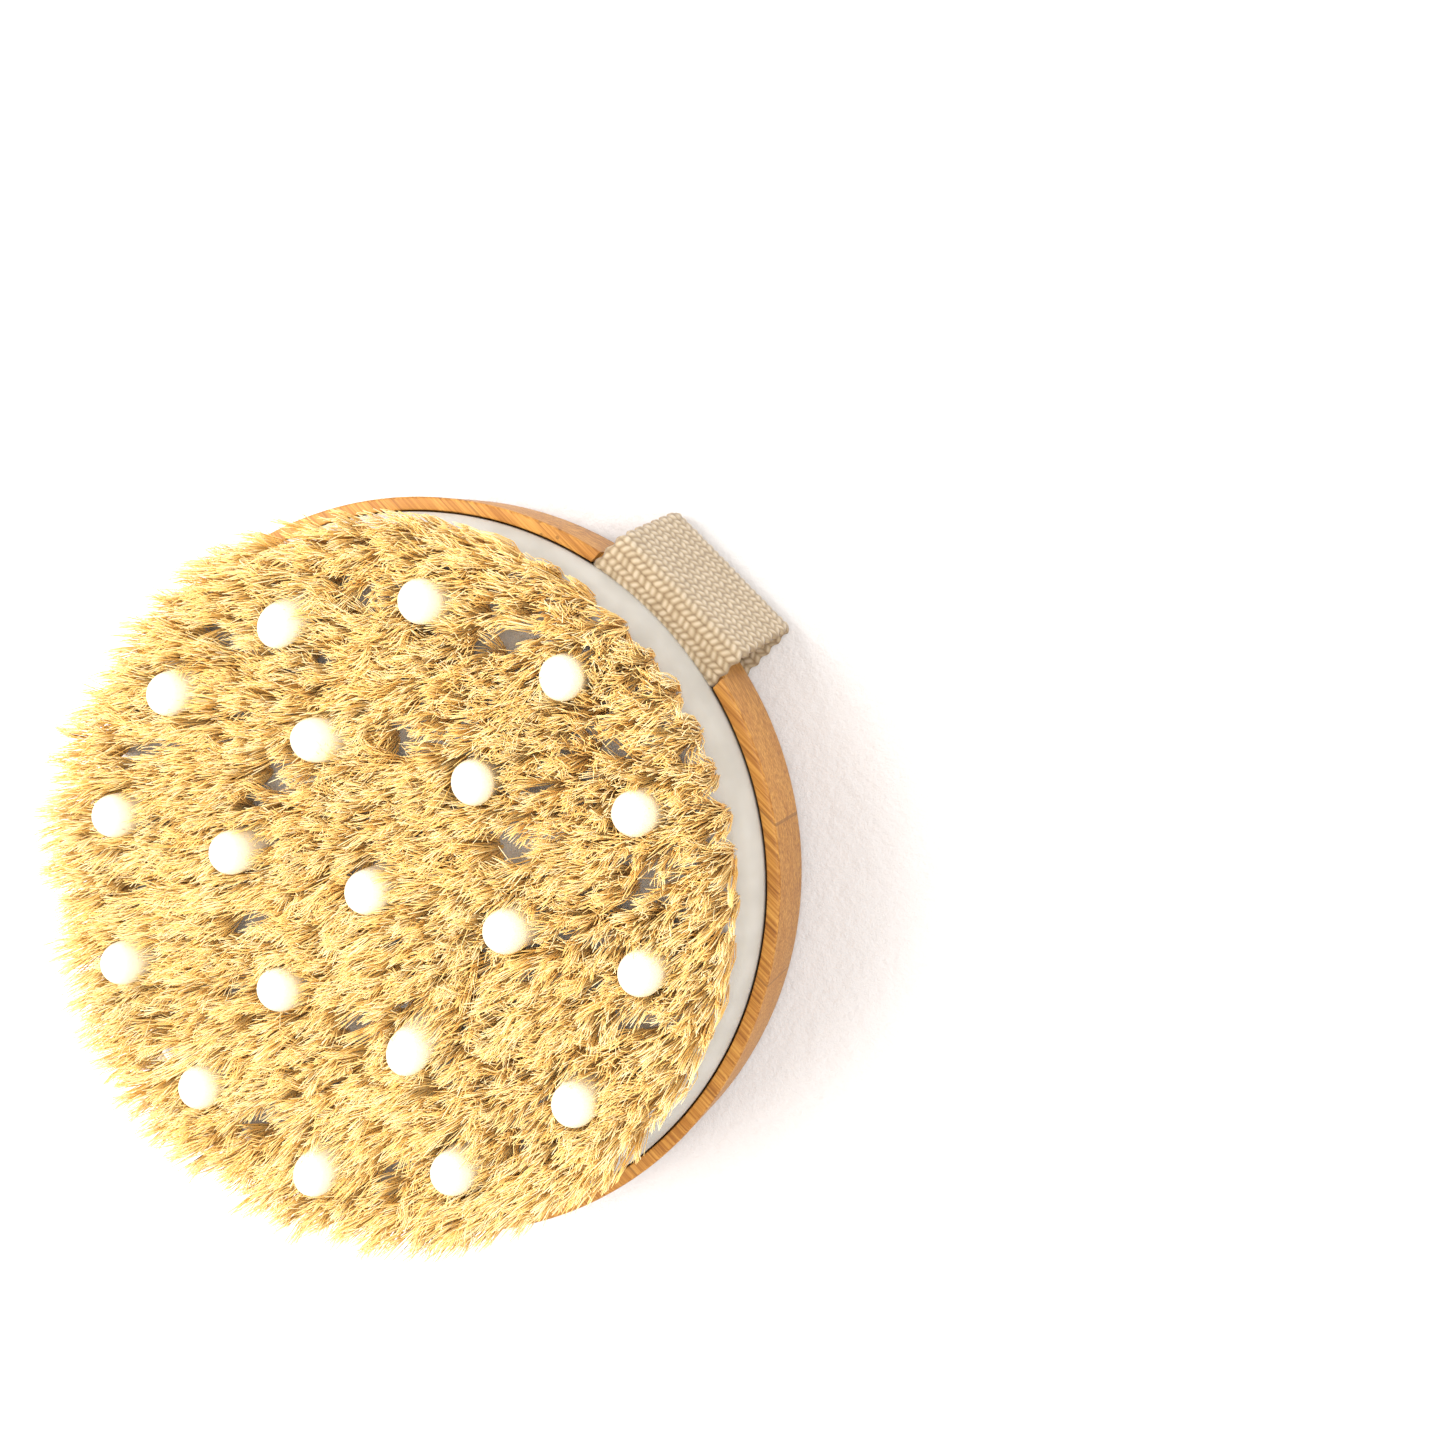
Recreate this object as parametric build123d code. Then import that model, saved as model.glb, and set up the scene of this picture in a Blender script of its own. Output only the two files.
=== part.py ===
from build123d import *
import math
import os

# Dry body brush: a turned bamboo disc, a domed cushion with rings of bristle tufts and soft
# massage nodules, and a woven hand strap across the back. Millimetres.
# Frame: origin at the centre of the underside, where the strap lies flat; +Z towards the
# bristle tips; X along the strap.

# Strap webbing
STRAP_WIDTH = 28.0
STRAP_THICK = 1.8
FOLD_CORNER_X = 71.0      # where the outer and inner runs would meet without the fold's radius
STRAP_SPAN = 20.0         # half length of the middle stretch that lifts off the back
STRAP_SEAM = 0.3          # running gap at each end of the middle stretch
STRAP_SLOT = STRAP_WIDTH + 0.6

# Bamboo body
BODY_RADIUS = 62.5
BODY_THICK = 18.0
BODY_BACK_Z = STRAP_THICK + 0.3
LIP_Z = BODY_BACK_Z + BODY_THICK
BACK_ROUND = 3.0
LIP_ROUND = 0.5
RECESS_RADIUS = 60.3
RECESS_DEPTH = 8.0
NOTCH_DEPTH = 2.0         # lets the strap cross the lip
FLOOR_Z = LIP_Z - RECESS_DEPTH

# Cushion stack: bedding sheet, tuft plate, domed pad
BED_THICK = STRAP_THICK
PLATE_RADIUS = 57.5
PLATE_FLAT = 57.1         # the strap rises past the plate here
PLATE_TOP_Z = LIP_Z - NOTCH_DEPTH
PAD_RADIUS = 60.0
PAD_EDGE_Z = LIP_Z + 0.6
PAD_SHOULDER = 52.0       # where the rounded edge meets the crown
PAD_SHOULDER_Z = PAD_EDGE_Z + 6.0
PAD_CROWN_Z = PAD_SHOULDER_Z + 1.0

# Strap run inside the body
RISER_X = 58.3            # centre of the stretch that rises beside the plate
TAIL_END_X = 44.0
BEND_X = 64.6             # where the strap turns down outside the lip
STRAP_BENDS = (1.1, 1.1, 3.5, 1.6)   # centre-line radii, from the tail to the fold

# Staples through the strap's tails
STAPLES_X = (47.0, 51.0)
STAPLES_Y = (-7.0, 7.0)
STAPLE_WIRE = 0.6
STAPLE_CROWN = 9.0
STAPLE_DEPTH = 5.0
STAPLE_GAP = 0.05

# Massage nodules: one in the middle and two rings
NODULE_RINGS = ((1, 0.0), (6, 24.2), (12, 46.6))
NODULE_TURN = 2.0         # degrees between the strap and the first nodule of a ring
NODULE_TIP_RADIUS = 3.6
NODULE_BASE_RADIUS = 3.9
NODULE_TOP_Z = PAD_EDGE_Z + 22.1
NODULE_FOOT_RADIUS = 4.6
NODULE_FOOT_THICK = 1.5
NODULE_GAP = 0.05

# Bristle tufts: number in the ring, ring radius, turn from the nodules' direction in degrees
TUFT_RINGS = (
    (6, 7.2, 30.0),
    (12, 12.8, 15.0),
    (18, 18.2, 10.0),
    (12, 23.4, 15.0),
    (24, 29.6, 7.5),
    (30, 34.8, 6.0),
    (36, 40.0, 5.0),
    (24, 45.2, 7.5),
    (36, 50.8, 5.0),
    (52, 55.6, 0.0),
)
TUFT_ROOT_RADIUS = 1.2
TUFT_TIP_RADIUS = 1.9
TUFT_TOP_Z = PAD_EDGE_Z + 20.6
TUFT_BOTTOM_Z = PLATE_TOP_Z - 3.0
TUFT_HOLE_RADIUS = TUFT_ROOT_RADIUS + 0.05
ANCHOR_LENGTH = 2.2
ANCHOR_HEIGHT = 0.5
ANCHOR_THICK = 0.3


def ring_places(count, radius, turn):
    """Evenly spaced places on a ring, each with its direction in degrees."""
    for index in range(count):
        angle = turn + 360.0 * index / count
        yield (
            radius * math.cos(math.radians(angle)),
            radius * math.sin(math.radians(angle)),
            angle,
        )


def column(radius, bottom, top, x=0.0, y=0.0):
    """An upright cylinder between two heights."""
    return Pos(x, y, bottom) * extrude(Circle(radius), top - bottom)


def block(x_low, x_high, y_half, z_low, z_high):
    """A box that is symmetric about the strap's centre line."""
    size_x, size_z = x_high - x_low, z_high - z_low
    centre = Pos((x_low + x_high) / 2, 0, (z_low + z_high) / 2)
    return centre * Box(size_x, 2 * y_half, size_z)


def both_sides(solid):
    """The solid and its copy at the other end of the strap."""
    return [solid, Rot(0, 0, 180) * solid]


def pad_height(radius):
    """Height of the pad's upper surface at a distance from the axis."""
    if radius <= PAD_SHOULDER:
        share = (radius / PAD_SHOULDER) ** 2
        return PAD_CROWN_Z - (PAD_CROWN_Z - PAD_SHOULDER_Z) * share
    reach, drop = PAD_RADIUS - PAD_SHOULDER, PAD_SHOULDER_Z - PAD_EDGE_Z
    rounding = (reach**2 + drop**2) / (2 * drop)
    return PAD_SHOULDER_Z - rounding + math.sqrt(rounding**2 - (radius - PAD_SHOULDER) ** 2)


def nodule_places():
    """Every nodule's place, from the middle outwards."""
    for count, radius in NODULE_RINGS:
        yield from ring_places(count, radius, NODULE_TURN)


def tuft_places(count, ring_radius, turn):
    """The places of one ring's tufts."""
    return ring_places(count, ring_radius, turn + NODULE_TURN)


def tuft_cylinders(radius, bottom, top):
    """One cylinder at every tuft, to cut the holes with."""
    return [
        column(radius, bottom, top, x, y)
        for ring in TUFT_RINGS
        for x, y, _ in tuft_places(*ring)
    ]


def bamboo_body():
    disc = column(BODY_RADIUS, BODY_BACK_Z, LIP_Z)
    rims = disc.edges().filter_by(GeomType.CIRCLE).sort_by(Axis.Z)
    disc = fillet(rims[0], BACK_ROUND)
    lip = disc.edges().filter_by(GeomType.CIRCLE).sort_by(Axis.Z)[-1]
    disc = fillet(lip, LIP_ROUND)
    recess = column(RECESS_RADIUS, FLOOR_Z, LIP_Z + 1)
    notch = block(
        RISER_X, BODY_RADIUS + 1, STRAP_SLOT / 2, LIP_Z - NOTCH_DEPTH, LIP_Z + 1
    )
    riser_slot = block(
        50.0, RISER_X + STRAP_THICK / 2 + 0.1, STRAP_SLOT / 2, FLOOR_Z, LIP_Z + 1
    )
    cutters = [recess, *both_sides(notch), *both_sides(riser_slot)]
    for staple in staples(STAPLE_GAP):
        cutters.extend(both_sides(staple))
    return disc - cutters


def bedding_sheet():
    sheet = column(PLATE_RADIUS, FLOOR_Z, FLOOR_Z + BED_THICK)
    tail = block(TAIL_END_X - 0.3, PLATE_RADIUS + 1, STRAP_SLOT / 2, FLOOR_Z - 1, LIP_Z)
    return sheet - both_sides(tail)


def tuft_plate():
    bottom = FLOOR_Z + BED_THICK
    plate = column(PLATE_RADIUS, bottom, PLATE_TOP_Z)
    plate &= Box(2 * PLATE_FLAT, 3 * PLATE_RADIUS, 3 * LIP_Z)
    holes = tuft_cylinders(TUFT_HOLE_RADIUS, TUFT_BOTTOM_Z - ANCHOR_HEIGHT - 0.1, LIP_Z)
    relief = block(STAPLES_X[0] - 2, STAPLES_X[-1] + 2, STRAP_SLOT / 2, bottom - 1, bottom + 0.8)
    return plate - [*holes, *both_sides(relief)]


def cushion_pad():
    crown, inner, shoulder, outer, edge = (
        (radius, 0, pad_height(radius))
        for radius in (0, PAD_SHOULDER / 2, PAD_SHOULDER, (PAD_SHOULDER + PAD_RADIUS) / 2, PAD_RADIUS)
    )
    top = ThreePointArc(crown, inner, shoulder)
    rounded = ThreePointArc(shoulder, outer, edge)
    side = Polyline(edge, (PAD_RADIUS, 0, PLATE_TOP_Z), (0, 0, PLATE_TOP_Z), crown)
    profile = make_face([top, rounded, side])
    pad = revolve(profile, Axis.Z, 360)
    pocket = block(PLATE_FLAT, PAD_RADIUS + 1, STRAP_SLOT / 2, PLATE_TOP_Z - 1, LIP_Z)
    holes = tuft_cylinders(TUFT_HOLE_RADIUS, PLATE_TOP_Z - 1, PAD_CROWN_Z + 1)
    for x, y, _ in nodule_places():
        holes.append(
            column(NODULE_BASE_RADIUS + NODULE_GAP, PLATE_TOP_Z - 1, PAD_CROWN_Z + 1, x, y)
        )
        holes.append(
            column(
                NODULE_FOOT_RADIUS + NODULE_GAP,
                PLATE_TOP_Z - 1,
                PLATE_TOP_Z + NODULE_FOOT_THICK + NODULE_GAP,
                x,
                y,
            )
        )
    return pad - [*both_sides(pocket), *holes]


def massage_nodule(x, y):
    """A round-ended finger with a broad foot that the pad holds down."""
    shaft_bottom = PLATE_TOP_Z + NODULE_FOOT_THICK
    cap_z = NODULE_TOP_Z - NODULE_TIP_RADIUS
    outline = Polyline(
        (0, 0, NODULE_TOP_Z),
        (0, 0, PLATE_TOP_Z),
        (NODULE_FOOT_RADIUS, 0, PLATE_TOP_Z),
        (NODULE_FOOT_RADIUS, 0, shaft_bottom),
        (NODULE_BASE_RADIUS, 0, shaft_bottom),
        (NODULE_BASE_RADIUS, 0, PAD_CROWN_Z),
        (NODULE_TIP_RADIUS, 0, cap_z),
    )
    diagonal = NODULE_TIP_RADIUS * math.sqrt(0.5)
    cap = ThreePointArc(
        (NODULE_TIP_RADIUS, 0, cap_z),
        (diagonal, 0, cap_z + diagonal),
        (0, 0, NODULE_TOP_Z),
    )
    return Pos(x, y, 0) * revolve(make_face([outline, cap]), Axis.Z, 360)


def bristle_tuft(ring_radius):
    """A bound root that opens into a spreading bundle above the pad."""
    neck = pad_height(ring_radius - TUFT_ROOT_RADIUS)
    root = column(TUFT_ROOT_RADIUS, TUFT_BOTTOM_Z, neck)
    lower = Pos(0, 0, neck) * Circle(TUFT_ROOT_RADIUS)
    upper = Pos(0, 0, TUFT_TOP_Z) * Circle(TUFT_TIP_RADIUS)
    return root + loft([lower, upper])


def tuft_ring(count, ring_radius, turn):
    tuft = bristle_tuft(ring_radius)
    places = tuft_places(count, ring_radius, turn)
    return Compound(children=[Pos(x, y, 0) * tuft for x, y, _ in places])


def tuft_anchors():
    """The flat wire that holds each tuft down in its hole."""
    wire_z = TUFT_BOTTOM_Z - ANCHOR_HEIGHT / 2
    wire = Pos(0, 0, wire_z) * Box(ANCHOR_LENGTH, ANCHOR_THICK, ANCHOR_HEIGHT)
    return Compound(
        children=[
            Pos(x, y, 0) * Rot(0, 0, angle) * wire
            for ring in TUFT_RINGS
            for x, y, angle in tuft_places(*ring)
        ]
    )


def staples(growth=0.0):
    """The wire staples that hold one tail of the strap down on the bamboo."""
    side = STAPLE_WIRE + 2 * growth
    top = FLOOR_Z + STRAP_THICK + STAPLE_WIRE + growth
    bottom = FLOOR_Z - STAPLE_DEPTH - growth
    crown = Pos(0, 0, top - side / 2) * Box(side, STAPLE_CROWN + 2 * growth, side)
    leg = Pos(0, (STAPLE_CROWN - STAPLE_WIRE) / 2, (top + bottom) / 2)
    leg *= Box(side, side, top - bottom)
    staple = crown + leg + Rot(0, 0, 180) * leg
    return [Pos(x, y, 0) * staple for x in STAPLES_X for y in STAPLES_Y]


def strap_end():
    """One end of the strap: tail in the body, over the lip, down, folded and back."""
    tail_z = FLOOR_Z + STRAP_THICK / 2
    over_lip_z = LIP_Z - STRAP_THICK / 2 - 0.1
    run_z = STRAP_THICK / 2
    route = FilletPolyline(
        (TAIL_END_X, 0, tail_z),
        (RISER_X, 0, tail_z),
        (RISER_X, 0, over_lip_z),
        (BEND_X, 0, over_lip_z),
        (FOLD_CORNER_X, 0, run_z),
        (STRAP_SPAN + STRAP_SEAM, 0, run_z),
        radius=list(STRAP_BENDS),
    )
    section = Plane((TAIL_END_X, 0, tail_z), x_dir=(0, 1, 0), z_dir=(1, 0, 0))
    ribbon = sweep(section * Rectangle(STRAP_WIDTH, STRAP_THICK), path=route)
    return ribbon - staples(STAPLE_GAP)


def strap_span():
    return block(-STRAP_SPAN, STRAP_SPAN, STRAP_WIDTH / 2, 0, STRAP_THICK)


os.makedirs("parts", exist_ok=True)
NODES = {
    "bamboo_body": bamboo_body(),
    "bedding_sheet": bedding_sheet(),
    "tuft_plate": tuft_plate(),
    "cushion_pad": cushion_pad(),
    "tuft_anchors": tuft_anchors(),
    "strap_end_right": strap_end(),
    "strap_end_left": Rot(0, 0, 180) * strap_end(),
    "strap_span": strap_span(),
    "strap_staples_right": Compound(children=staples()),
    "strap_staples_left": Compound(children=[Rot(0, 0, 180) * staple for staple in staples()]),
}
for number, (x, y, _) in enumerate(nodule_places(), start=1):
    NODES[f"massage_nodule_{number:02d}"] = massage_nodule(x, y)
for number, ring in enumerate(TUFT_RINGS, start=1):
    NODES[f"bristle_ring_{number}"] = tuft_ring(*ring)
for name, shape in NODES.items():
    export_step(shape, f"parts/{name}.step")
    print(name, "volume", round(shape.volume, 1))
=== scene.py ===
import math
import random

import bmesh
import bpy
from mathutils import Matrix, Vector, noise


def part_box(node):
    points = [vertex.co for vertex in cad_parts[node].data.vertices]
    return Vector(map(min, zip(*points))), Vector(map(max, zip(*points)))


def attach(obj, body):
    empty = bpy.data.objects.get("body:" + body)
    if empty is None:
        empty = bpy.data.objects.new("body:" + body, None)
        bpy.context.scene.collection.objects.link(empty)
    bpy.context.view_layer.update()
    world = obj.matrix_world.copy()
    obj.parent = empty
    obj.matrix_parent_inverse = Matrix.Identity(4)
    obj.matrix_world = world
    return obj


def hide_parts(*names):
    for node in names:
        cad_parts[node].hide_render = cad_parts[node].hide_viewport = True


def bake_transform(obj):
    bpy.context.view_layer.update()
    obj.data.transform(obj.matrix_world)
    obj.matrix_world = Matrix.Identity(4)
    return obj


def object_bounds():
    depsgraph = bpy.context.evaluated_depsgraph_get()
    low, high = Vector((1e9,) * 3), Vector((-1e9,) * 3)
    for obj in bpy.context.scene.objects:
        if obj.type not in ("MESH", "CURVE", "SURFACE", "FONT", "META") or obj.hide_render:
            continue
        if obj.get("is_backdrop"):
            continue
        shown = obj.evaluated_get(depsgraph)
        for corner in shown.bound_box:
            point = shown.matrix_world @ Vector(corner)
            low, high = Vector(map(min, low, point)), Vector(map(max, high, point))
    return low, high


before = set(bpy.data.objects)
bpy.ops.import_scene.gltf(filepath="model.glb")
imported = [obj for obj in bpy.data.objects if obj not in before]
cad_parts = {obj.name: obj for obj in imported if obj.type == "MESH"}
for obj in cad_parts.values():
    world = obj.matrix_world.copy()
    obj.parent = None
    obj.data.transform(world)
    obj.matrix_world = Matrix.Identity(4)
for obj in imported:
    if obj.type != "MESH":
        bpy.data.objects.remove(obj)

CAD_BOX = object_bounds()
MM = 0.001

# Sizes in millimetres, read from the frame where it has them
BODY_LOW, BODY_HIGH = (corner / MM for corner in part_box("bamboo_body"))
PAD_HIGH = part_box("cushion_pad")[1] / MM
SPAN_LOW, SPAN_HIGH = (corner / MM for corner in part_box("strap_span"))
BODY_RADIUS = BODY_HIGH.x
BACK_Z, LIP_Z = BODY_LOW.z, BODY_HIGH.z
RECESS_RADIUS = BODY_RADIUS - 2.2
PAD_RADIUS = BODY_RADIUS - 2.5
PAD_EDGE_Z = LIP_Z + 0.6
PAD_SHOULDER = PAD_RADIUS - 8.0
PAD_CROWN_Z = PAD_HIGH.z
PAD_SHOULDER_Z = PAD_CROWN_Z - 1.0
STRAP_WIDTH = SPAN_HIGH.y - SPAN_LOW.y
STRAP_THICK = SPAN_HIGH.z

# Sizes that the frame's boxes don't give, the same as the CAD's
NOTCH_DEPTH = 2.0
RECESS_DEPTH = 8.0
BACK_ROUND = 3.0
LIP_ROUND = 0.5
PAD_UNDER_Z = LIP_Z - 1.9
PLATE_FLAT = 57.1
TAIL_END_X = 44.0
RISER_X = 58.3
BEND_X = 64.6
FOLD_CORNER_X = 71.0
STRAP_BENDS = (1.1, 1.1, 3.5, 1.6)      # centre-line radii, from the tail to the fold

# Nodules
NODULE_COUNT = 19
NODULE_TURN = 2.0
NODULE_BASE_RADIUS = 3.9
NODULE_TIP_RADIUS = 3.6
NODULE_FOOT_RADIUS = 4.5
# How far the tips of the softest nodules have leaned, in millimetres along X and Y, by number
NODULE_LEAN = {
    2: (2.0, -2.0), 3: (-0.7, 2.0), 5: (1.5, 0.4), 6: (-2.7, -1.9), 8: (1.5, -1.5),
    10: (-2.9, -2.4), 11: (-1.1, -0.9), 14: (1.0, -0.7), 15: (-1.1, -1.4),
}

# Bristles: number of tufts in the ring, ring radius, turn from the nodules' direction in degrees
TUFT_RINGS = (
    (6, 7.2, 30.0),
    (12, 12.8, 15.0),
    (18, 18.2, 10.0),
    (12, 23.4, 15.0),
    (24, 29.6, 7.5),
    (30, 34.8, 6.0),
    (36, 40.0, 5.0),
    (24, 45.2, 7.5),
    (36, 50.8, 5.0),
    (52, 55.6, 0.0),
)
HAIRS_PER_TUFT = 198
LOCKS_PER_TUFT = 14
TUFT_SPREAD = 5.0
TUFT_TOP = PAD_EDGE_Z + 20.2
HAIR_RADIUS = 0.125
HAIR_LEVELS = (0.0, 0.4, 0.78, 1.0)
HAIR_CEILING = 43.6      # the tallest tip
HAIR_REACH = 60.0        # the farthest tip from the axis
STRAY_SHARE = 0.015
DARK_SHARE = 0.02
# Places in the list of hair materials; the three middle and three tip shades follow MID and TIP
ROOT, MID, TIP, DARK, DARK_END = 0, 1, 4, 7, 8

# Weave of the webbing
ROW = 1.3                # one row of stitches along the strap
STITCH = 1.3             # one stitch across it
RELIEF = 0.3
STEP_ALONG = 0.25
STEP_ACROSS = 0.25

# Bamboo: the laminated strips, and how far their first edge lies before X = 0
STRIP_WIDTH = 19.5
STRIP_SHIFT = 203.0

# Camera
CAMERA_AIM = Vector((57.2, -19.9, 25.0)) * MM
CAMERA_AZIMUTH = -26.6   # degrees from +X
CAMERA_ELEVATION = 73.8
CAMERA_DISTANCE = 0.281
CAMERA_ROLL = -108.1
CAMERA_LENS = 44.8

random.seed(7)
noise.seed_set(7)    # noise_vector starts from the clock unless it is seeded


# ---------------------------------------------------------------- materials

def socket_of(value):
    """The first output of a node, or the socket itself."""
    return value if hasattr(value, "is_output") else value.outputs[0]


class Material:
    """A principled material with short ways to add and join nodes."""

    def __init__(self, name, colour, roughness, **inputs):
        self.made = bpy.data.materials.new(name)
        self.made.use_nodes = True
        self.nodes, self.links = self.made.node_tree.nodes, self.made.node_tree.links
        self.shader = self.nodes["Principled BSDF"]
        self.shader.inputs["Base Color"].default_value = (*colour, 1)
        self.shader.inputs["Roughness"].default_value = roughness
        for socket, value in inputs.items():
            self.shader.inputs[socket.replace("_", " ")].default_value = value

    def add(self, kind, **settings):
        node = self.nodes.new("ShaderNode" + kind)
        for name, value in settings.items():
            if hasattr(node, name):
                setattr(node, name, value)
            else:
                node.inputs[name.replace("_", " ")].default_value = value
        return node

    def join(self, source, target, output=0):
        self.links.new(source.outputs[output], target)
        return source

    def place(self, scale):
        """Object coordinates in millimetres, stretched by scale."""
        where = self.add("TexCoord")
        mapping = self.add("Mapping")
        mapping.inputs["Scale"].default_value = [s / MM for s in scale]
        self.links.new(where.outputs["Object"], mapping.inputs["Vector"])
        return mapping

    def noise(self, scale, detail=4.0, roughness=0.55, size=1.0):
        grain = self.add("TexNoise", Scale=size, Detail=detail, Roughness=roughness)
        self.join(self.place(scale), grain.inputs["Vector"])
        return grain

    def ramp(self, source, stops, output=0):
        ramp = self.add("ValToRGB")
        elements = ramp.color_ramp.elements
        while len(elements) < len(stops):
            elements.new(0.5)
        for element, (place, colour) in zip(elements, stops):
            element.position = place
            element.color = (*colour, 1)
        self.join(source, ramp.inputs["Fac"], output)
        return ramp

    def math(self, operation, first, second=None, clamp=False):
        """A maths node on two inputs that are nodes or numbers."""
        node = self.add("Math", operation=operation, use_clamp=clamp)
        for index, value in enumerate((first, second)):
            if value is None:
                continue
            if isinstance(value, (int, float)):
                node.inputs[index].default_value = value
            else:
                self.links.new(socket_of(value), node.inputs[index])
        return node

    def mix(self, share, first, second, blend="MIX"):
        """A colour mix; share, first and second are nodes, sockets or plain values."""
        node = self.add("Mix", data_type="RGBA", blend_type=blend)
        for index, value in ((0, share), (6, first), (7, second)):
            if isinstance(value, (int, float)):
                node.inputs[index].default_value = value
            elif isinstance(value, tuple):
                node.inputs[index].default_value = (*value, 1)
            else:
                self.links.new(socket_of(value), node.inputs[index])
        return node.outputs[2]

    def bump(self, source, strength, distance_mm, output=0):
        bump = self.add("Bump", Strength=strength, Distance=distance_mm * MM)
        self.links.new(source.outputs[output], bump.inputs["Height"])
        self.links.new(bump.outputs["Normal"], self.shader.inputs["Normal"])

    def colour(self, socket):
        self.links.new(socket_of(socket), self.shader.inputs["Base Color"])


def bamboo():
    """Laminated bamboo: strips along Y with fine fibres, and a band of joint dots in some of them."""
    m = Material("bamboo", (0.8, 0.5, 0.2), 0.5, Specular_IOR_Level=0.3)
    place = m.add("SeparateXYZ")
    m.join(m.place((1, 1, 1)), place.inputs[0])
    strips_along = m.math("DIVIDE", m.math("ADD", place.outputs[0], STRIP_SHIFT), STRIP_WIDTH)
    strip = m.math("FLOOR", strips_along)
    chance = m.add("TexWhiteNoise", noise_dimensions="1D")
    m.links.new(strip.outputs[0], chance.inputs["W"])
    fibres = m.noise((2.6, 0.035, 2.6), detail=6.0, roughness=0.65)
    coarse = m.noise((0.42, 0.012, 0.42), detail=3.0)
    dark, middle, light = (0.24, 0.09, 0.018), (0.45, 0.20, 0.04), (0.64, 0.34, 0.08)
    base = m.ramp(fibres, ((0.30, dark), (0.47, middle), (0.62, light)))
    wide = m.ramp(coarse, ((0.35, (0.84, 0.76, 0.66)), (0.6, (1.0, 1.0, 1.0))))
    tone = m.mix(0.85, base, wide, "MULTIPLY")
    hue = m.ramp(chance, ((0.0, (0.90, 0.86, 0.80)), (1.0, (1.05, 1.03, 1.0))))
    tone = m.mix(1.0, tone, hue, "MULTIPLY")
    # joint band: its place along the strip differs from strip to strip
    band_y = m.math("MULTIPLY", m.math("SUBTRACT", chance.outputs[0], 0.5), 76.0)
    away = m.math("ABSOLUTE", m.math("SUBTRACT", place.outputs[1], band_y))
    near = m.math("SUBTRACT", 1.0, m.math("DIVIDE", away, 5.0), clamp=True)
    dots = m.add("TexVoronoi", Scale=1.0, Randomness=1.0)
    m.join(m.place((0.75, 0.62, 0.75)), dots.inputs["Vector"])
    spot = m.math("LESS_THAN", dots.outputs[0], 0.27)
    mark = m.math("MULTIPLY", m.math("MULTIPLY", spot, near), 0.75, clamp=True)
    tone = m.mix(mark.outputs[0], tone, (0.12, 0.05, 0.015))
    # glue lines between strips
    edge = m.math("ABSOLUTE", m.math("SUBTRACT", m.math("FRACT", strips_along), 0.5))
    line = m.math("MULTIPLY", m.math("GREATER_THAN", edge, 0.492), 0.6)
    m.colour(m.mix(line.outputs[0], tone, (0.20, 0.085, 0.022)))
    m.bump(fibres, 0.25, 0.12)
    return m.made


def milky_rubber():
    """The pad: translucent milky rubber with a faint orange-peel."""
    m = Material("milky_rubber", (0.64, 0.60, 0.53), 0.38, Subsurface_Weight=0.55,
                 Subsurface_Scale=0.004, Specular_IOR_Level=0.4)
    m.shader.inputs["Subsurface Radius"].default_value = (1.0, 0.85, 0.65)
    cloud = m.noise((0.12, 0.12, 0.12), detail=2.0)
    tint = m.ramp(cloud, ((0.35, (0.46, 0.435, 0.385)), (0.65, (0.54, 0.515, 0.465))))
    m.colour(tint)
    m.bump(m.noise((1.2, 1.2, 1.2), detail=2.0), 0.12, 0.08)
    return m.made


def nodule_rubber():
    """The massage nodules: soft white rubber that light soaks into."""
    m = Material("nodule_rubber", (0.74, 0.705, 0.61), 0.33, Subsurface_Weight=0.6,
                 Subsurface_Scale=0.0035, Specular_IOR_Level=0.45)
    m.shader.inputs["Subsurface Radius"].default_value = (1.0, 0.9, 0.7)
    m.bump(m.noise((0.9, 0.9, 0.9), detail=2.0), 0.08, 0.06)
    return m.made


def webbing():
    """Cotton webbing: cream on the stitch tops, with painted shade that darkens it to tan and brown down in
    the pits, and fibre fuzz.
    """
    m = Material("cotton_webbing", (0.86, 0.79, 0.66), 0.95, Sheen_Weight=0.35, Sheen_Roughness=0.6)
    lump = m.add("Attribute", attribute_name="lump")
    # painted shade: the colour goes from cream on the stitch tops to dark brown in the pits, following the
    # weave's height
    pit, slope, top = (0.20, 0.125, 0.06), (0.41, 0.31, 0.185), (0.61, 0.50, 0.355)
    tone_with_pit_shade = m.ramp(lump, ((0.0, pit), (0.35, slope), (0.85, top)), output=2)
    cloud = m.noise((0.35, 0.35, 0.35), detail=3.0)
    uneven = m.ramp(cloud, ((0.3, (0.90, 0.88, 0.84)), (0.7, (1.0, 1.0, 1.0))))
    m.colour(m.mix(1.0, tone_with_pit_shade, uneven, "MULTIPLY"))
    m.bump(m.noise((9.0, 9.0, 9.0), detail=4.0, roughness=0.7), 0.5, 0.12)
    return m.made


def hair_material(name, colour):
    """One shade of bristle, with a soft golden sheen and uneven gloss."""
    m = Material(name, colour, 0.5, Specular_IOR_Level=0.2, Sheen_Weight=0.4, Sheen_Roughness=0.6)
    m.shader.inputs["Sheen Tint"].default_value = (1.0, 0.72, 0.32, 1)
    gloss = m.ramp(m.noise((3.0, 3.0, 3.0)), ((0.3, (0.4,) * 3), (0.7, (0.65,) * 3)))
    m.join(gloss, m.shader.inputs["Roughness"])
    return m.made


def plain_detail(name, colour, roughness, metallic=0.0):
    m = Material(name, colour, roughness, Metallic=metallic)
    m.bump(m.noise((1.5, 1.5, 1.5), detail=3.0), 0.15, 0.05)
    return m.made


# ---------------------------------------------------------------- mesh helpers

def new_object(name, mesh, *materials):
    """A smooth-shaded object in the scene."""
    made = bpy.data.objects.new(name, mesh)
    bpy.context.collection.objects.link(made)
    for material in materials:
        mesh.materials.append(material)
    mesh.shade_smooth()
    return made


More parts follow.
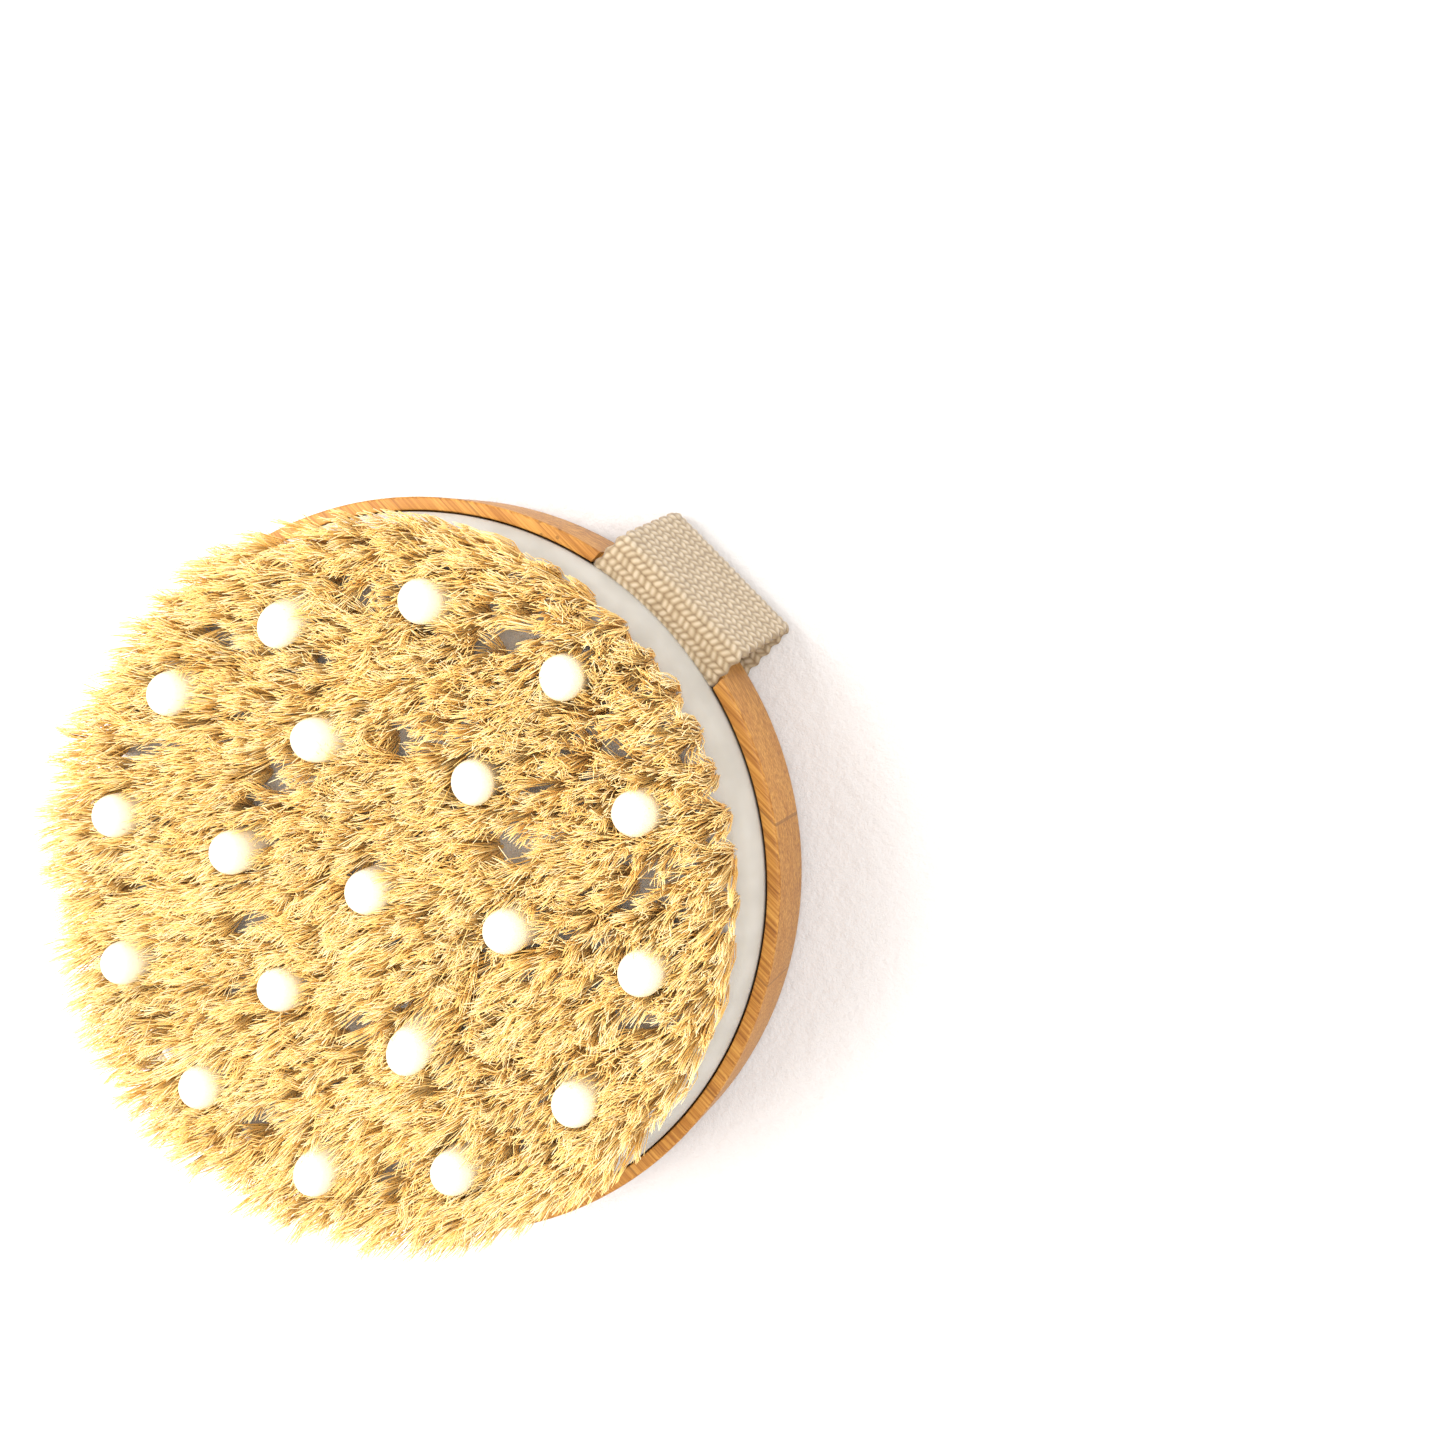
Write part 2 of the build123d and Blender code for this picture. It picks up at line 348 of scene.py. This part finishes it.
def lathe(name, outline, steps):
    """Turns an outline of (radius, height) in millimetres about Z."""
    vertices, faces = [], []
    for radius, height in outline:
        for step in range(steps):
            angle = 2 * math.pi * step / steps
            place = (radius * math.cos(angle) * MM, radius * math.sin(angle) * MM, height * MM)
            vertices.append(place)
    for low in range(0, (len(outline) - 1) * steps, steps):
        high = low + steps
        for step in range(steps):
            after = (step + 1) % steps
            faces.append((low + step, low + after, high + after, high + step))
    mesh = bpy.data.meshes.new(name)
    mesh.from_pydata(vertices, [], faces)
    bm = bmesh.new()
    bm.from_mesh(mesh)
    bmesh.ops.remove_doubles(bm, verts=bm.verts, dist=1e-6)
    bmesh.ops.recalc_face_normals(bm, faces=bm.faces)
    bm.to_mesh(mesh)
    bm.free()
    return mesh


def arc(centre, radius, start, end, steps):
    """Outline points on an arc; angles in degrees."""
    for step in range(steps + 1):
        angle = math.radians(start + (end - start) * step / steps)
        yield (centre[0] + radius * math.cos(angle), centre[1] + radius * math.sin(angle))


def pad_height(radius):
    """Height of the pad's upper surface at a distance from the axis."""
    if radius <= PAD_SHOULDER:
        return PAD_CROWN_Z - (PAD_CROWN_Z - PAD_SHOULDER_Z) * (radius / PAD_SHOULDER) ** 2
    reach, drop = PAD_RADIUS - PAD_SHOULDER, PAD_SHOULDER_Z - PAD_EDGE_Z
    rounding = (reach**2 + drop**2) / (2 * drop)
    return PAD_SHOULDER_Z - rounding + math.sqrt(rounding**2 - (radius - PAD_SHOULDER) ** 2)


# ---------------------------------------------------------------- bamboo body and pad

def cut_notch(body, side):
    """Cuts the notch in the lip that lets the strap cross it."""
    size = Vector((8.0, STRAP_WIDTH + 0.6, 6.0)) * MM
    centre = Vector((side * 62.0, 0, LIP_Z + 3.0 - NOTCH_DEPTH)) * MM
    bpy.ops.mesh.primitive_cube_add(size=1, location=centre)
    cutter = bpy.context.object
    cutter.scale = size
    bpy.context.view_layer.update()
    cut = body.modifiers.new("notch", "BOOLEAN")
    cut.object, cut.operation, cut.solver = cutter, "DIFFERENCE", "EXACT"
    bpy.context.view_layer.objects.active = body
    bpy.ops.object.modifier_apply(modifier=cut.name)
    bpy.data.objects.remove(cutter, do_unlink=True)


def make_body(material):
    floor_z = LIP_Z - RECESS_DEPTH
    outline = [
        (0.0, BACK_Z),
        (30.0, BACK_Z),
        *arc((BODY_RADIUS - BACK_ROUND, BACK_Z + BACK_ROUND), BACK_ROUND, -90, 0, 8),
        (BODY_RADIUS, BACK_Z + 8.0),
        *arc((BODY_RADIUS - LIP_ROUND, LIP_Z - LIP_ROUND), LIP_ROUND, 0, 90, 4),
        *arc((RECESS_RADIUS + 0.25, LIP_Z - 0.25), 0.25, 90, 180, 3),
        (RECESS_RADIUS, floor_z),
        (30.0, floor_z),
        (0.0, floor_z),
    ]
    body = new_object("bamboo_turned_body", lathe("bamboo_turned_body", outline, 256), material)
    for side in (-1, 1):
        cut_notch(body, side)
    body.data.shade_smooth()
    body.data.set_sharp_from_angle(angle=math.radians(35))
    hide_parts("bamboo_body")
    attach(body, "brush")


def make_pad(material):
    rows = [PAD_RADIUS * step / 40 for step in range(41)]
    top = [(radius, pad_height(radius)) for radius in rows[:-1]]
    rim = [(PAD_RADIUS - 0.15, PAD_EDGE_Z + 0.25), (PAD_RADIUS, PAD_EDGE_Z - 0.1), (PAD_RADIUS, PAD_UNDER_Z)]
    under = [(PLATE_FLAT, PAD_UNDER_Z), (0.0, PAD_UNDER_Z)]
    pad = new_object("domed_pad", lathe("domed_pad", top + rim + under, 192), material)
    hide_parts("cushion_pad")
    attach(pad, "brush")


def nodule_outline(low_z, high_z, rise_from):
    """A foot, a straight root up to rise_from, a faintly waisted shaft and a round tip."""
    foot, root, tip = NODULE_FOOT_RADIUS, NODULE_BASE_RADIUS, NODULE_TIP_RADIUS
    cap = high_z - tip
    outline = [(0.0, low_z), (foot, low_z), (foot, low_z + 1.4), (root, low_z + 1.6), (root, rise_from)]
    for step in range(1, 9):
        share = step / 8
        radius = root - 0.3 * share - 0.12 * math.sin(math.pi * share)
        outline.append((radius, rise_from + (cap - rise_from) * share))
    outline.extend(list(arc((0.0, cap), tip, 0, 90, 10))[1:])
    return outline


def make_nodules(material):
    """Each nodule is turned from its own outline and leans a little, as soft rubber does."""
    for number in range(1, NODULE_COUNT + 1):
        node = f"massage_nodule_{number:02d}"
        low, high = (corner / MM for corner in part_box(node))
        centre = (low + high) / 2
        rise_from = pad_height(min(Vector(centre.xy).length, 59)) - 0.6
        mesh = lathe(node, nodule_outline(low.z, high.z, rise_from), 40)
        piece = new_object(f"soft_nodule_{number:02d}", mesh, material)
        small_lean = (random.uniform(-0.4, 0.4), random.uniform(-0.4, 0.4))
        lean = Vector(NODULE_LEAN.get(number, small_lean))
        for vertex in piece.data.vertices:
            share = max(0.0, (vertex.co.z / MM - rise_from) / (high.z - rise_from))
            vertex.co.x += (centre.x + lean.x * share**1.6) * MM
            vertex.co.y += (centre.y + lean.y * share**1.6) * MM
        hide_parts(node)
        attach(piece, "brush")


# ---------------------------------------------------------------- bristles

def hair_points(root, tip, sag, curl):
    """Centre line of one hair, bowed sideways and curled at its tip."""
    for level in HAIR_LEVELS:
        yield root.lerp(tip, level) + sag * (4 * level * (1 - level)) + curl * level**3


def add_hair(vertices, faces, tones, points, radius, tone):
    """A three-sided hair that thins to its tip. tones holds each face's material index."""
    start = len(vertices)
    turn = random.uniform(0, 2 * math.pi)
    last = len(points) - 1
    for index, point in enumerate(points):
        thin = radius * (1.0 - 0.62 * (index / last) ** 2)
        for side in range(3):
            angle = turn + side * 2 * math.pi / 3
            vertices.append((
                (point.x + thin * math.cos(angle)) * MM,
                (point.y + thin * math.sin(angle)) * MM,
                point.z * MM,
            ))
    for index in range(last):
        for side in range(3):
            after = (side + 1) % 3
            low, high = start + index * 3, start + index * 3 + 3
            faces.append((low + side, low + after, high + after, high + side))
            tones.append(tone[index])
    top = start + last * 3
    faces.append((top, top + 1, top + 2))
    tones.append(tone[-1])


def sideways(spread):
    """A random level step."""
    return Vector((random.gauss(0, spread), random.gauss(0, spread), 0))


def tuft_locks(centre):
    """The locks that one tuft splits into: where each starts in the hole, its end, curl and shade."""
    slow = centre * 0.07
    drift = Vector((noise.noise(slow), noise.noise(slow + Vector((9, 9, 9))), 0)) * 3.0
    drift += sideways(0.4)
    tuft_top = TUFT_TOP + random.gauss(0.0, 0.4)
    locks = []
    for index in range(LOCKS_PER_TUFT):
        angle = 2 * math.pi * (index * 0.618 + random.uniform(-0.06, 0.06))
        away = Vector((math.cos(angle), math.sin(angle), 0))
        share = math.sqrt((index + 0.5) / LOCKS_PER_TUFT)
        end = centre + away * (TUFT_SPREAD * share * random.uniform(0.8, 1.2)) + drift
        end.z = tuft_top + random.gauss(0, 0.5) - 0.5 * share
        curl = sideways(0.75)
        locks.append((away * share, end, curl, random.choice((0, 0, 1, 1, 2))))
    return locks


def tuft_hairs(centre, vertices, faces, tones):
    """Fills one tuft: roots packed in its hole, tips gathered in locks that meet the neighbours'."""
    locks = tuft_locks(centre)
    for _ in range(HAIRS_PER_TUFT):
        offset, end, lock_curl, kind = random.choice(locks)
        root = centre + offset + sideways(0.28)
        root.z = pad_height(min(root.xy.length, PAD_RADIUS - 0.1)) - 1.0
        tip = end + Vector((random.gauss(0, 0.6), random.gauss(0, 0.6), random.gauss(-0.2, 0.6)))
        if random.random() < STRAY_SHARE:
            tip += Vector((random.gauss(0, 2.4), random.gauss(0, 2.4), random.uniform(-2.0, 0.8)))
        tip.z = min(tip.z, HAIR_CEILING - random.uniform(0, 0.8))
        curl = lock_curl + sideways(0.5)
        reach = (tip + curl).xy.length
        if reach > HAIR_REACH:
            tip.x, tip.y = tip.xy * (HAIR_REACH / reach)
        sag = offset * 0.45 + sideways(0.3)
        if random.random() < DARK_SHARE:
            tone = (DARK, DARK, DARK_END)
        else:
            kind = random.choice((kind, kind, 0, 1, 2))
            tone = (ROOT if random.random() < 0.75 else MID + 2, MID + kind, TIP + kind)
        radius = HAIR_RADIUS * random.uniform(0.75, 1.2)
        add_hair(vertices, faces, tones, list(hair_points(root, tip, sag, curl)), radius, tone)


def make_bristles():
    materials = [
        hair_material("bristle_root", (0.90, 0.56, 0.20)),
        hair_material("bristle_gold", (0.97, 0.68, 0.24)),
        hair_material("bristle_straw", (0.98, 0.77, 0.36)),
        hair_material("bristle_amber", (0.95, 0.59, 0.15)),
        hair_material("bristle_gold_tip", (0.99, 0.76, 0.34)),
        hair_material("bristle_straw_tip", (0.99, 0.86, 0.54)),
        hair_material("bristle_amber_tip", (0.98, 0.68, 0.24)),
        hair_material("bristle_dark", (0.16, 0.08, 0.03)),
        hair_material("bristle_dark_tip", (0.45, 0.27, 0.11)),
    ]
    for number, (count, ring_radius, turn) in enumerate(TUFT_RINGS, start=1):
        vertices, faces, tones = [], [], []
        for index in range(count):
            angle = math.radians(turn + NODULE_TURN + 360 * index / count)
            centre = Vector((ring_radius * math.cos(angle), ring_radius * math.sin(angle), 0))
            tuft_hairs(centre, vertices, faces, tones)
        mesh = bpy.data.meshes.new(f"bristle_hairs_{number}")
        mesh.from_pydata(vertices, [], faces)
        hairs = new_object(f"bristle_hairs_{number}", mesh, *materials)
        mesh.polygons.foreach_set("material_index", tones)
        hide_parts(f"bristle_ring_{number}")
        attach(hairs, "brush")


# ---------------------------------------------------------------- strap

def weave(along, across):
    """Height of the weave, 0 in a pit to 1 on a stitch: rows of plump stitches that slant to and fro."""
    sway = noise.noise_vector(Vector((along * 0.45, across * 0.45, 0.0))) * 0.25
    row = math.floor((along + sway.x) / ROW)
    along_share = (along + sway.x) / ROW - row - 0.5
    slant = 0.5 if row % 2 else -0.5
    across_share = ((across + sway.y) / STITCH + slant * along_share + 0.25 * (row % 2)) % 1.0 - 0.5
    plump = 0.92 + 0.4 * noise.noise(Vector((along * 0.7, across * 0.7, 5.0)))
    stitch = math.exp(-((across_share / 0.37) ** 2) - (along_share / 0.44) ** 4)
    return min(1.0, plump * stitch)


def route_lines(route, start_length):
    """Each straight line of the route: length run before it, its start, direction and own length."""
    lines, distance = [], start_length
    for (x0, z0), (x1, z1) in zip(route, route[1:]):
        run = math.hypot(x1 - x0, z1 - z0)
        lines.append((distance, x0, z0, (x1 - x0) / run, (z1 - z0) / run, run))
        distance += run
    return lines, distance


def line_at(lines, along):
    """The line that holds the place at this length along the route."""
    return max((line for line in lines if line[0] <= along + 1e-9), key=lambda line: line[0])


def smooth_direction(lines, along, window=0.5):
    """Direction of the route, averaged over a short window so that bends are round."""
    total = Vector((0, 0))
    for offset in (-window, -window / 2, 0, window / 2, window):
        place = min(max(along + offset, lines[0][0]), lines[-1][0] + lines[-1][5])
        line = line_at(lines, place)
        total += Vector((line[3], line[4]))
    return total.normalized()


def ribbon_points(lines, along, columns):
    """One row across both faces of the webbing, as (point, height of the weave) pairs; the height is lowered
    near the selvedges, which paints shade on their rounding.
    """
    distance, x0, z0, step_x, step_z, _ = line_at(lines, along)
    x, z = x0 + step_x * (along - distance), z0 + step_z * (along - distance)
    slope = smooth_direction(lines, along)
    side = Vector((-slope[1], slope[0]))
    scallop = 0.22 * math.cos(math.pi * along / ROW)
    for face in (1, -1):
        shift = STITCH / 2 if face < 0 else 0.0
        for column in range(columns + 1):
            share = column / columns
            across = (share - 0.5) * (STRAP_WIDTH + 2 * scallop * abs(2 * share - 1) ** 6)
            high = weave(along, (share - 0.5) * STRAP_WIDTH + shift)
            edge = min(1.0, min(share, 1 - share) * STRAP_WIDTH / 0.8)
            half = (STRAP_THICK / 2 - RELIEF * (1 - high)) * math.sqrt(edge * (2 - edge))
            point = ((x + face * side.x * half) * MM, across * MM, (z + face * side.y * half) * MM)
            # painted shade: the weave height is lowered towards the rounded selvedges, so the webbing colour
            # darkens there
            yield point, high * (0.4 + 0.6 * edge)


def ribbon_faces(rows, columns):
    """Quads over both faces, along both selvedges and across both ends."""
    stride = 2 * (columns + 1)
    for row in range(rows):
        for face in (0, 1):
            for column in range(columns):
                a = row * stride + face * (columns + 1) + column
                quad = (a, a + 1, a + stride + 1, a + stride)
                yield quad if face else quad[::-1]
        for column in (0, columns):
            a = row * stride + column
            b = a + columns + 1
            quad = (a, b, b + stride, a + stride)
            yield quad if column else quad[::-1]
    for row in (0, rows):
        for column in range(columns):
            a = row * stride + column
            b = a + columns + 1
            quad = (a, a + 1, b + 1, b)
            yield quad if row else quad[::-1]


def ribbon(name, route, start_length, material):
    """Webbing on a flat route of (x, z) points, as a closed mesh with its weave raised on both faces."""
    lines, distance = route_lines(route, start_length)
    rows = round((distance - start_length) / STEP_ALONG)
    columns = round(STRAP_WIDTH / STEP_ACROSS)
    vertices, lumps = [], []
    for row in range(rows + 1):
        along = start_length + (distance - start_length) * row / rows
        for point, high in ribbon_points(lines, along, columns):
            vertices.append(point)
            lumps.append(high)
    mesh = bpy.data.meshes.new(name)
    mesh.from_pydata(vertices, [], list(ribbon_faces(rows, columns)))
    attribute = mesh.attributes.new("lump", "FLOAT", "POINT")
    attribute.data.foreach_set("value", lumps)
    bm = bmesh.new()
    bm.from_mesh(mesh)
    bmesh.ops.recalc_face_normals(bm, faces=bm.faces)
    bm.to_mesh(mesh)
    bm.free()
    made = new_object(name, mesh, material)
    return made


def rounded_route(corners, radii, steps=7):
    """The corners' polyline with each inner corner replaced by a tangent arc."""
    points = [Vector(corners[0])]
    for before, corner, after, radius in zip(corners, corners[1:], corners[2:], radii):
        before, corner, after = Vector(before), Vector(corner), Vector(after)
        into, out = (corner - before).normalized(), (after - corner).normalized()
        turn = into.angle(out)
        back = radius * math.tan(turn / 2)
        start, end = corner - into * back, corner + out * back
        centre = corner + (out - into).normalized() * (radius / math.cos(turn / 2))
        first, last = start - centre, end - centre
        for step in range(steps + 1):
            share = step / steps
            points.append(centre + first.slerp(last, share) * radius)
    points.append(Vector(corners[-1]))
    return [(p.x, p.y) for p in points]


def make_strap(material):
    tail_z = LIP_Z - RECESS_DEPTH + STRAP_THICK / 2
    over_lip_z = LIP_Z - STRAP_THICK / 2 - 0.1
    run_z = STRAP_THICK / 2
    seam = SPAN_HIGH.x
    corners = [
        (TAIL_END_X, tail_z),
        (RISER_X, tail_z),
        (RISER_X, over_lip_z),
        (BEND_X, over_lip_z),
        (FOLD_CORNER_X, run_z),
        (seam, run_z),
    ]
    route = rounded_route(corners, STRAP_BENDS)
    for side, name in ((1, "right"), (-1, "left")):
        # the run is measured from the seam outwards, so the weave goes on across it
        places = [(side * x, z) for x, z in reversed(route)]
        end = ribbon(f"strap_webbing_{name}", places, seam, material)
        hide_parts(f"strap_end_{name}")
        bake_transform(end)
    middle = ribbon("strap_webbing_middle", [(-seam, run_z), (seam, run_z)], -seam, material)
    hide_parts("strap_span")
    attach(middle, "strap_middle")


# ---------------------------------------------------------------- inner pieces, stage, camera

def finish_inner_pieces():
    finishes = {
        "bedding_sheet": plain_detail("foam", (0.78, 0.75, 0.68), 0.9),
        "tuft_plate": plain_detail("plate_plastic", (0.82, 0.82, 0.79), 0.5),
        "tuft_anchors": plain_detail("steel_wire", (0.6, 0.6, 0.61), 0.35, 1.0),
    }
    finishes["strap_staples_right"] = finishes["strap_staples_left"] = finishes["tuft_anchors"]
    for node, material in finishes.items():
        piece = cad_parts[node]
        piece.data.materials.clear()
        piece.data.materials.append(material)


def make_stage():
    bpy.ops.mesh.primitive_plane_add(size=6.0, location=(0, 0, -0.0002))
    floor = bpy.context.object
    floor.name = "floor"
    m = Material("floor_plaster", (0.70, 0.685, 0.68), 0.85)
    m.bump(m.noise((0.35, 0.35, 0.35), detail=6.0, roughness=0.7), 0.6, 1.2)
    floor.data.materials.append(m.made)
    floor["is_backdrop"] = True
    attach(floor, "strap_middle")


def add_light(name, size, power, place, target, colour=(1, 1, 1)):
    data = bpy.data.lights.new(name, "AREA")
    data.shape, data.size, data.energy, data.color = "DISK", size, power, colour
    light = bpy.data.objects.new(name, data)
    bpy.context.collection.objects.link(light)
    light.location = place
    light.rotation_euler = (Vector(target) - Vector(place)).to_track_quat("-Z", "Y").to_euler()


def make_camera():
    data = bpy.data.cameras.new("camera")
    data.lens, data.sensor_width, data.clip_start = CAMERA_LENS, 36.0, 0.01
    camera = bpy.data.objects.new("camera", data)
    bpy.context.collection.objects.link(camera)
    azimuth, elevation = math.radians(CAMERA_AZIMUTH), math.radians(CAMERA_ELEVATION)
    level = math.cos(elevation)
    back = Vector((math.cos(azimuth) * level, math.sin(azimuth) * level, math.sin(elevation)))
    camera.location = CAMERA_AIM + back * CAMERA_DISTANCE
    facing = (-back).to_track_quat("-Z", "Y").to_matrix()
    camera.rotation_euler = (facing @ Matrix.Rotation(math.radians(CAMERA_ROLL), 3, "Z")).to_euler()
    bpy.context.scene.camera = camera


def make_light():
    add_light("key", 1.1, 19.0, (-0.42, 0.50, 0.62), (0, 0, 0.03), (1.0, 0.985, 0.96))
    add_light("fill", 0.5, 5.5, (0.36, -0.16, 0.80), (0, 0, 0.02), (1.0, 0.985, 0.97))
    world = bpy.data.worlds.new("studio")
    bpy.context.scene.world = world
    world.use_nodes = True
    background = world.node_tree.nodes["Background"]
    background.inputs["Color"].default_value = (1.0, 0.98, 0.975, 1)
    background.inputs["Strength"].default_value = 0.8


make_body(bamboo())
make_pad(milky_rubber())
make_nodules(nodule_rubber())
make_bristles()
make_strap(webbing())
finish_inner_pieces()
make_stage()
make_camera()
make_light()
bpy.context.scene.view_settings.view_transform = "Standard"

VISUAL_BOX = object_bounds()
[[list(corner) for corner in box] for box in (CAD_BOX, VISUAL_BOX)]
